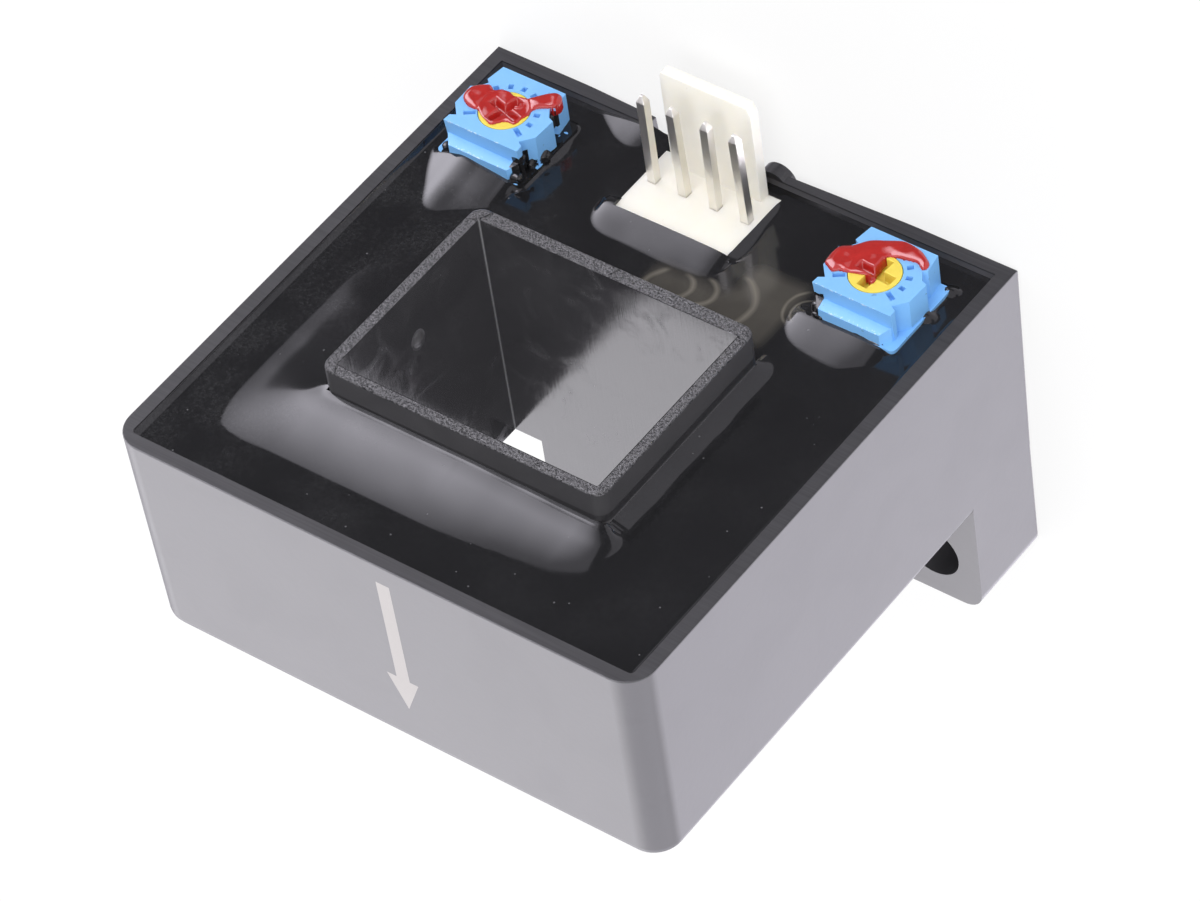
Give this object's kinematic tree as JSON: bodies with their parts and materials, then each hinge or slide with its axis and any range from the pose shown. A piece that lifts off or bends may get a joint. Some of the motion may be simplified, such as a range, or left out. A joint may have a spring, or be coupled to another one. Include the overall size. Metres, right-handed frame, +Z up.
{
  "type": "hall effect current sensor",
  "caption": "Potted open-loop current sensor with a rectangular through aperture and collar, pin header, sealed trimmers and drilled mounting feet.",
  "frame": {"origin": "centre of the flat mounting base, which the sensor stands on", "axes": "+Z up from the mounting base, +Y out of the potted face towards the mating plug, +X along the base"},
  "size_m": [0.0418, 0.0342, 0.0413],
  "materials": {
    "case_black": "satin moulded black",
    "potting_black": "glossy cast resin",
    "core_steel": "laminated steel",
    "board_green": "solder mask",
    "header_nylon": "natural nylon",
    "pin_tin": "bright tin plate",
    "trimmer_blue": "moulded blue",
    "rotor_yellow": "moulded yellow",
    "lacquer_red": "dried glossy lacquer",
    "package_black": "moulded epoxy",
    "resistor_black": "coated chip",
    "capacitor_tan": "fired chip"
  },
  "bodies": {
    "root": {"amplifier_chip": "package_black", "case": "case_black", "chip_capacitor_1": "capacitor_tan", "chip_capacitor_2": "capacitor_tan", "chip_resistor_1": "resistor_black", "chip_resistor_2": "resistor_black", "chip_resistor_3": "resistor_black", "chip_resistor_4": "resistor_black", "circuit_board": "board_green", "connector_base": "header_nylon", "connector_pin_1": "pin_tin", "connector_pin_2": "pin_tin", "connector_pin_3": "pin_tin", "connector_pin_4": "pin_tin", "hall_element": "package_black", "lacquer_seal_left": "lacquer_red", "lacquer_seal_right": "lacquer_red", "magnetic_core": "core_steel", "potting_compound": "potting_black", "trimmer_body_left": "trimmer_blue", "trimmer_body_right": "trimmer_blue", "trimmer_rotor_left": "rotor_yellow", "trimmer_rotor_right": "rotor_yellow", "trimmer_terminal_left_1": "pin_tin", "trimmer_terminal_left_2": "pin_tin", "trimmer_terminal_left_3": "pin_tin", "trimmer_terminal_right_1": "pin_tin", "trimmer_terminal_right_2": "pin_tin", "trimmer_terminal_right_3": "pin_tin"}
  },
  "joints": []
}
